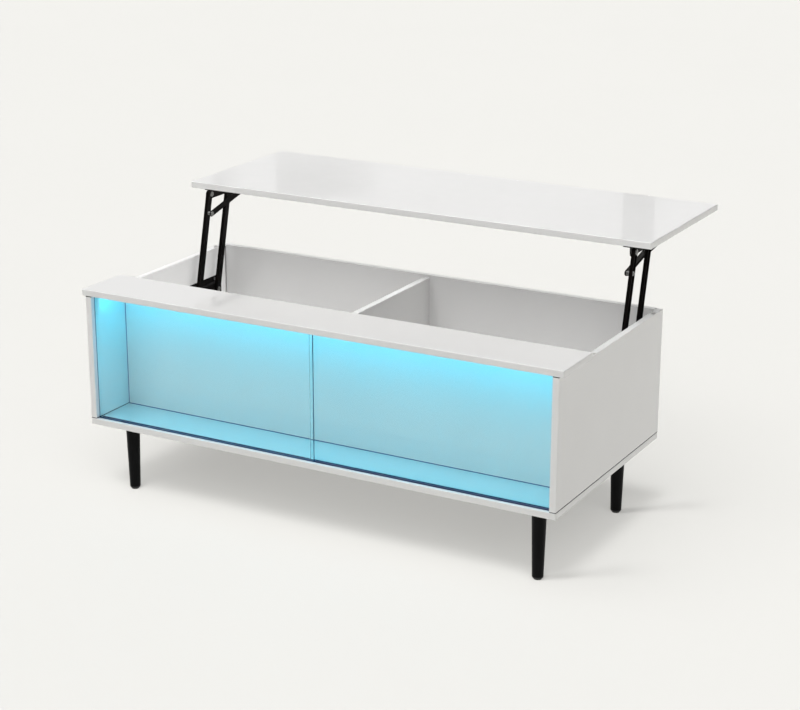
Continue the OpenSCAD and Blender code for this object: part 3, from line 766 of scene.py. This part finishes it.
# Grey panels in the sky: start and end in degrees left of straight back, and how dark
SKY_PANELS = ((29.81, 32.76, 1.0), (21.37, 22.32, 1.0), (34.28, 34.64, 0.9), (33.92, 34.25, 0.5))
PANEL_SHADE = 0.70

# A panel wider than this, in radians, darkens over a fade (width, first share) and ends at its top
WIDE_PANEL = 0.03
PANEL_FADE = (0.022, 0.45)
PANEL_TOP = (0.2295, 0.2325)
PANEL_FOOT = (0.2113, 0.2233)
PANEL_FOOT_SHARE = 0.5

FLOOR_HALF = 40.0
FLOOR_TINT = (1.0, 0.99, 0.954)
FLOOR_UNEVEN = 1.006
FLOOR_DIFFUSE = 0.15
FLOOR_ROUGH = 0.85
FLOOR_GLOW = 0.262
BACKDROP_R = 30.0
BACKDROP_SEGMENTS = 96
BACKDROP_SHADES = ((0.893, 0.885, 0.852), (0.897, 0.889, 0.856))


def add_light(name, kind, at, towards, power, colour=(1, 1, 1)):
    data = bpy.data.lights.new(name, kind)
    data.energy = power
    data.color = colour
    light = bpy.data.objects.new(name, data)
    light.location = at
    light.rotation_mode = "QUATERNION"
    light.rotation_quaternion = (Vector(towards) - Vector(at)).to_track_quat("-Z", "Y")
    scene.collection.objects.link(light)
    return light


def sun(name, power, at, towards, spread):
    light = add_light(name, "SUN", Vector(at), Vector(towards), power)
    light.data.angle = math.radians(spread)
    return light


def hidden_sun(name, *lamp):
    """A soft light that is seen only by what it lights."""
    light = sun(name, *lamp)
    light.visible_camera = light.visible_glossy = light.visible_transmission = False
    return light


def collect(name, *pieces):
    group = bpy.data.collections.new(name)
    for piece in pieces:
        group.objects.link(piece)
    return group


def niche_light():
    """The light strip under the front strip. It lights the niche, not the studio floor."""
    a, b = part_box("led_diffuser")
    at = Vector(((a.x + b.x) / 2, (a.y + b.y) / 2, a.z - GLOW_BELOW))
    light = add_light("niche_light", "AREA", at, at + Vector(GLOW_TOWARDS), GLOW_WATTS, GLOW_COLOUR)
    light.data.shape = "RECTANGLE"
    light.data.size = b.x - a.x
    light.data.size_y = b.y - a.y
    light.light_linking.receiver_collection = collect("niche", *NICHE)


def niche_ends():
    """The last stretch of the light strip, which brightens the niche's end walls."""
    a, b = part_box("led_diffuser")
    for wall, side, end in ((LEFT_SIDE, -1, a.x), (RIGHT_SIDE, 1, b.x)):
        at = Vector((end - side * GLOW_END_IN, (a.y + b.y) / 2, a.z - MM))
        light = add_light("niche_end", "AREA", at, at + Vector((side, *GLOW_END_TILT)),
                          GLOW_END_WATTS, GLOW_COLOUR)
        light.data.size = GLOW_END_SIZE
        light.light_linking.receiver_collection = collect("niche_end", wall)


def niche_day():
    """Daylight on the niche's rear wall, in the shade of the front strip."""
    light = hidden_sun("niche_day", *NICHE_DAY)
    light.light_linking.receiver_collection = collect("niche_wall", PARTITION)
    light.light_linking.blocker_collection = collect("niche_roof", STRIP)


def inside_fill():
    """Soft fill for the walls of the open storage, under the raised top."""
    light = hidden_sun("inside_fill", *INSIDE_FILL)
    light.light_linking.receiver_collection = collect("inside", BACK, DIVIDER)
    light.light_linking.blocker_collection = collect("inside_blockers", BACK, DIVIDER)


def wall_fill():
    """Soft fill for the left wall of the open storage."""
    light = hidden_sun("wall_fill", *WALL_FILL)
    light.light_linking.receiver_collection = collect("left_wall", LEFT_SIDE)
    light.light_linking.blocker_collection = collect("wall_blockers", PARTITION, STRIP)


def edge_fill():
    """Lifts the front edge of the raised top, which faces the dark storage below it."""
    light = hidden_sun("edge_fill", *EDGE_FILL)
    light.light_linking.receiver_collection = collect("top_only", TOP)


def studio_lights():
    """One wide soft light over the table, and a fan of softer ones that shape its shadow."""
    centre = (cad_box[0] + cad_box[1]) / 2
    power, offset, spread = OVERHEAD
    sun("overhead", power, centre + Vector(offset), centre, spread)
    floor_only = collect("floor_only", FLOOR)
    underside = collect("underside", BOTTOM, *LEGS.values())
    for power, offset, spread in FLOOR_FAN:
        fan = sun("shadow_fan", power, centre + Vector(offset), centre, spread)
        fan.light_linking.receiver_collection = floor_only
        fan.light_linking.blocker_collection = underside
    power, offset, spread = STREAKS
    side = sun("streaks", power, centre + Vector(offset), centre, spread)
    side.light_linking.receiver_collection = floor_only
    side.light_linking.blocker_collection = collect("right_legs", LEGS["front_right_leg"],
                                                    LEGS["rear_right_leg"])


def sky_panel(w, turn, z, start, end, depth):
    """Darkness of one grey panel. A wide one fades across its width and ends at its top."""
    start, end = math.radians(start), math.radians(end)
    inside = w.calc("MULTIPLY", w.calc("GREATER_THAN", turn, start), w.calc("LESS_THAN", turn, end))
    if end - start <= WIDE_PANEL:
        return w.calc("MULTIPLY", inside, depth)
    width, first = PANEL_FADE
    inside = w.calc("MULTIPLY", inside, w.span(turn, start, start + width, first, depth))
    return w.calc("MULTIPLY", inside, w.span(z, *PANEL_TOP, 1.0, 0.0))


def sky():
    """Pale studio walls, brighter behind the table, with a few grey panels for the gloss to show."""
    world = bpy.data.worlds.new("sky")
    world.use_nodes = True
    w = Nodes(world.node_tree, "Generated")
    split = w.add("ShaderNodeSeparateXYZ", Vector=w.place)
    x, y, z = (split.outputs[k] for k in "XYZ")
    behind = w.span(y, *SKY_BEHIND_SPAN, SKY_FRONT, SKY_BACK)
    walls = w.calc("MULTIPLY", behind, w.span(x, *SKY_RIGHT_SPAN, 1.0, SKY_RIGHT_SHARE))
    level = w.span(z, 0.0, 1.0, walls, SKY_TOP)
    turn = w.calc("ARCTAN2", w.calc("MULTIPLY", x, -1.0), y)
    shade = 0.0
    for panel in SKY_PANELS:
        shade = w.calc("ADD", shade, sky_panel(w, turn, z, *panel))
    shade = w.calc("MULTIPLY", shade, w.span(z, *PANEL_FOOT, PANEL_FOOT_SHARE, 1.0))
    level = w.calc("MULTIPLY", level, w.span(shade, 0.0, 1.0, 1.0, PANEL_SHADE))
    background = w.tree.nodes["Background"]
    w.put(background.inputs["Strength"], level)
    background.inputs["Color"].default_value = rgb(*SKY_COLOUR)
    scene.world = world


def floor():
    """Pale matt floor with a little light of its own."""
    m = Finish("studio_floor", Specular_IOR_Level=0.0)
    shade = times(FLOOR_TINT, FLOOR_DIFFUSE)
    m.colour(m.span(m.noise(1.2, 2.0), 0.4, 0.6), shade, times(shade, FLOOR_UNEVEN))
    m.rough(FLOOR_ROUGH)
    m.glow(rgb(*FLOOR_TINT), FLOOR_GLOW)
    bm = bmesh.new()
    bmesh.ops.create_grid(bm, x_segments=1, y_segments=1, size=FLOOR_HALF)
    piece = finished(bm, "floor", [m.material])
    return piece


def backdrop():
    """Far wall in the floor's shade, which only the camera sees, so that low views have no horizon."""
    m = Finish("backdrop", Base_Color=rgb(0.0, 0.0, 0.0), Specular_IOR_Level=0.0)
    m.glow(m.blend(m.span(m.noise(0.05, 1.0), 0.4, 0.6), *(rgb(*c) for c in BACKDROP_SHADES)), 1.0)
    bm = bmesh.new()
    bmesh.ops.create_cone(bm, cap_ends=False, segments=BACKDROP_SEGMENTS, radius1=BACKDROP_R,
                          radius2=BACKDROP_R, depth=2 * BACKDROP_R)
    piece = finished(bm, "backdrop", [m.material])
    for kind in ("diffuse", "glossy", "transmission", "shadow"):
        setattr(piece, f"visible_{kind}", False)


FLOOR = floor()
backdrop()
niche_light()
niche_ends()
niche_day()
inside_fill()
wall_fill()
edge_fill()
studio_lights()
sky()
